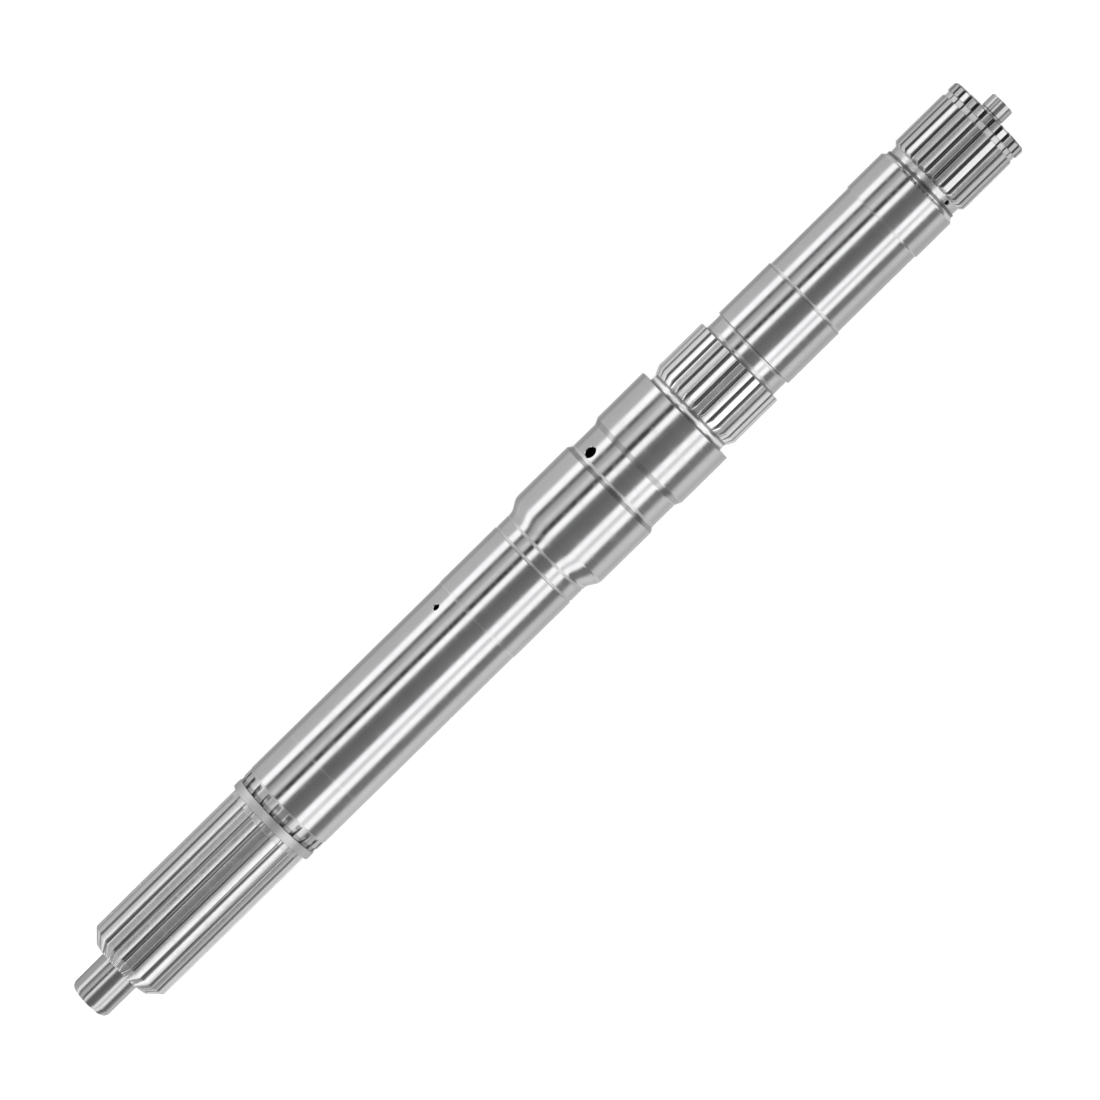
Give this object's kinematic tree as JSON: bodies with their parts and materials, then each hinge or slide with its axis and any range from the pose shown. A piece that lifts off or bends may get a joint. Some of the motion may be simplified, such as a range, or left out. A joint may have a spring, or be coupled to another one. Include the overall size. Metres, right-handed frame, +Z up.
{
  "type": "transmission intermediate shaft",
  "caption": "Stepped steel shaft with rear, middle and front splines, ground journals, an oil neck, pilot ends and a plain spacer ring against its shoulder.",
  "frame": {"origin": "on the shaft's axis, halfway along the rear main journal", "axes": "+X along the axis towards the front nub, +Z up, the shaft lying level"},
  "size_m": [0.5103, 0.0476, 0.0476],
  "materials": {
    "shaft_steel": "ground journals, machined splines",
    "ring_steel": "satin"
  },
  "bodies": {
    "root": {"intermediate_shaft": "shaft_steel", "spacer_ring": "ring_steel"}
  },
  "joints": []
}
